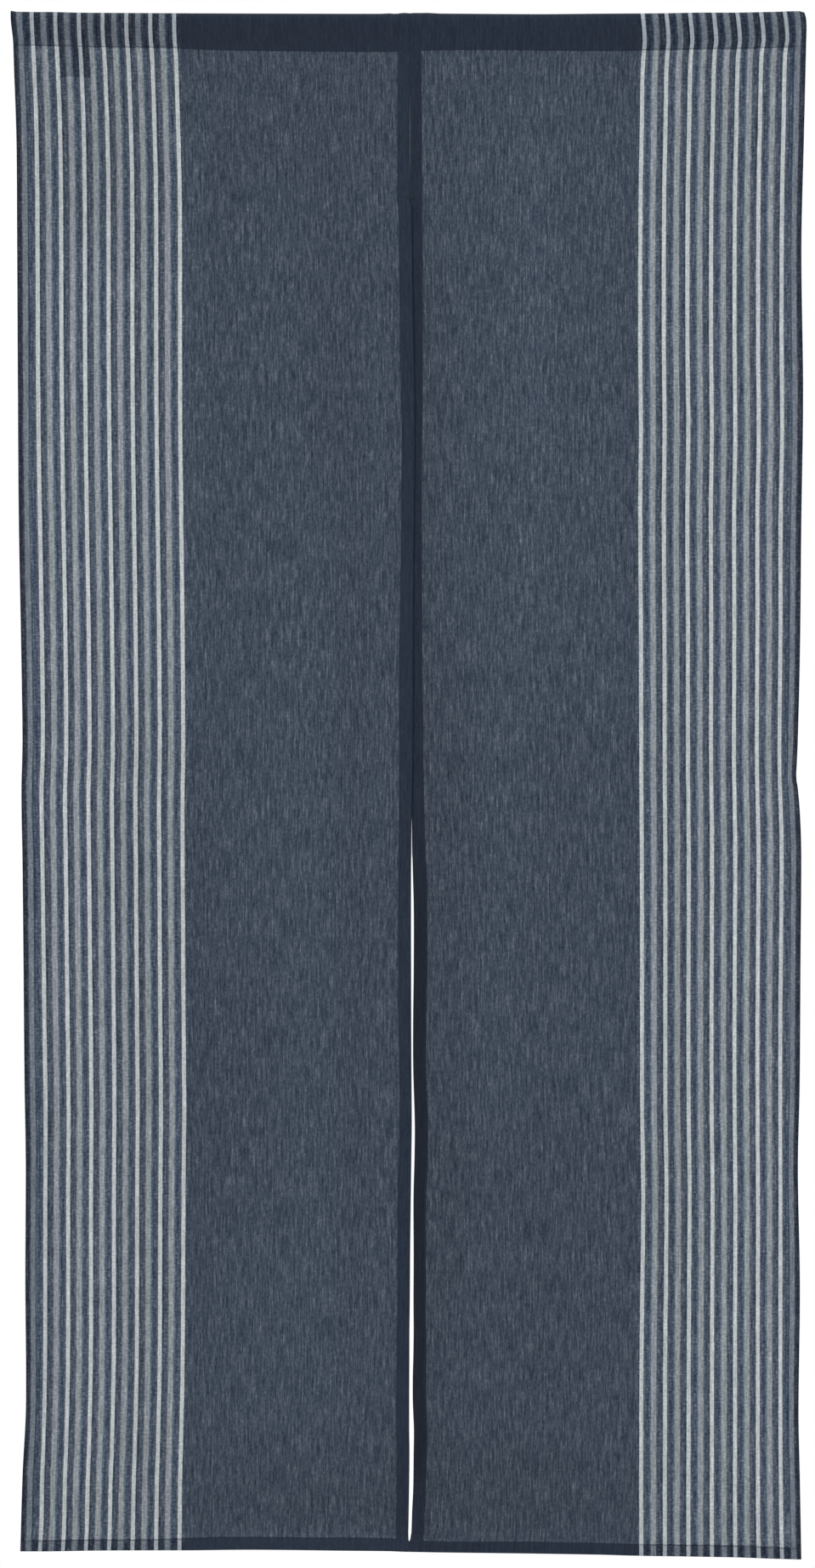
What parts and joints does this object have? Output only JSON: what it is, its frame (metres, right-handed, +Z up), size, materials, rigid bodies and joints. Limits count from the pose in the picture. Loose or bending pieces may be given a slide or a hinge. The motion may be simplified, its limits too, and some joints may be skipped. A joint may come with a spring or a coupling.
{
  "type": "noren curtain",
  "caption": "Split cloth door curtain with a rod pocket along the top, sewn together at the top of the middle and open below, with lengthwise stripes down both outer sides.",
  "frame": {"origin": "where the centre seam meets the top edge, on the plane through the middle of the rod pocket", "axes": "+Z up, front faces -Y, +X to the right seen from the front"},
  "size_m": [0.8785, 0.015, 1.711],
  "materials": {
    "striped_cloth": "thin indigo chambray, matt and a little sheer, with off-white and grey stripes in the warp along the outer sides",
    "label_tape": "plain blank woven tape"
  },
  "bodies": {
    "root": {"left_panel": "striped_cloth", "right_panel": "striped_cloth", "left_pocket": "striped_cloth", "right_pocket": "striped_cloth", "care_label": "label_tape"}
  },
  "joints": []
}
